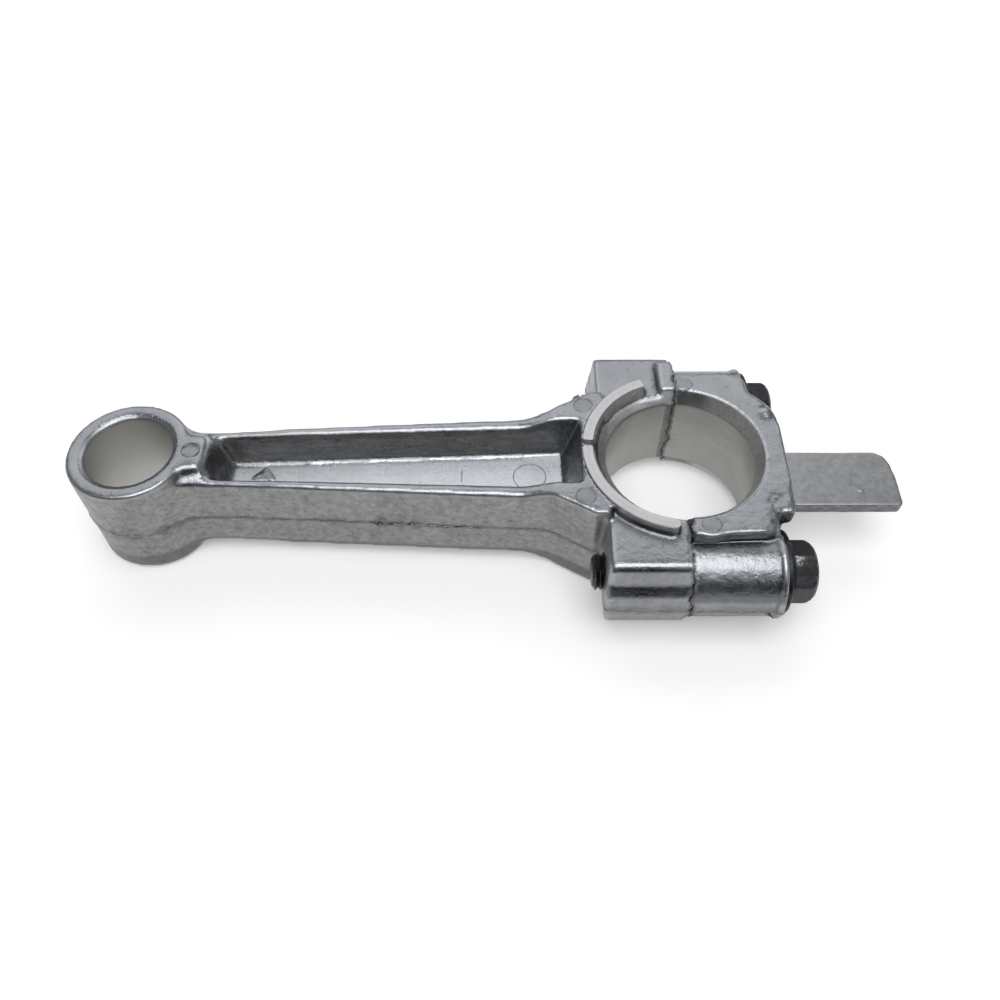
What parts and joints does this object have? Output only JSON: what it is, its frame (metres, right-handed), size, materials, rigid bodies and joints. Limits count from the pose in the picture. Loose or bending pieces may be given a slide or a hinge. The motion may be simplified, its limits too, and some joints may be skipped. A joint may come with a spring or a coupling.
{
  "type": "connecting rod",
  "caption": "Cast aluminium engine connecting rod with a round small end, an I-section beam, a split big end held by flanged cap bolts and a flat oil dipper on the cap.",
  "frame": {"origin": "centre of the crankpin bore on the parting plane of the casting", "axes": "+Z along the crankpin bore; +X along the rod from the small end towards the oil dipper; +Y across the rod towards the rear cap bolt"},
  "size_m": [0.161, 0.0579, 0.0242],
  "materials": {
    "cast_aluminium": "satin cast, machined in the bores and on the thrust rib",
    "black_steel": "black oxide"
  },
  "bodies": {
    "rod": {"connecting_rod": "cast_aluminium"},
    "cap": {"bearing_cap": "cast_aluminium"},
    "front_bolt": {"cap_bolt_front": "black_steel"},
    "rear_bolt": {"cap_bolt_rear": "black_steel"}
  },
  "joints": [
    {"name": "cap_lift", "type": "slide", "parent": "rod", "child": "cap", "axis": [1, 0, 0], "range_m": [0, 0.045]},
    {"name": "front_bolt_draw", "type": "slide", "parent": "cap", "child": "front_bolt", "axis": [1, 0, 0], "range_m": [0, 0.036]},
    {"name": "rear_bolt_draw", "type": "slide", "parent": "cap", "child": "rear_bolt", "axis": [1, 0, 0], "range_m": [0, 0.036]}
  ]
}
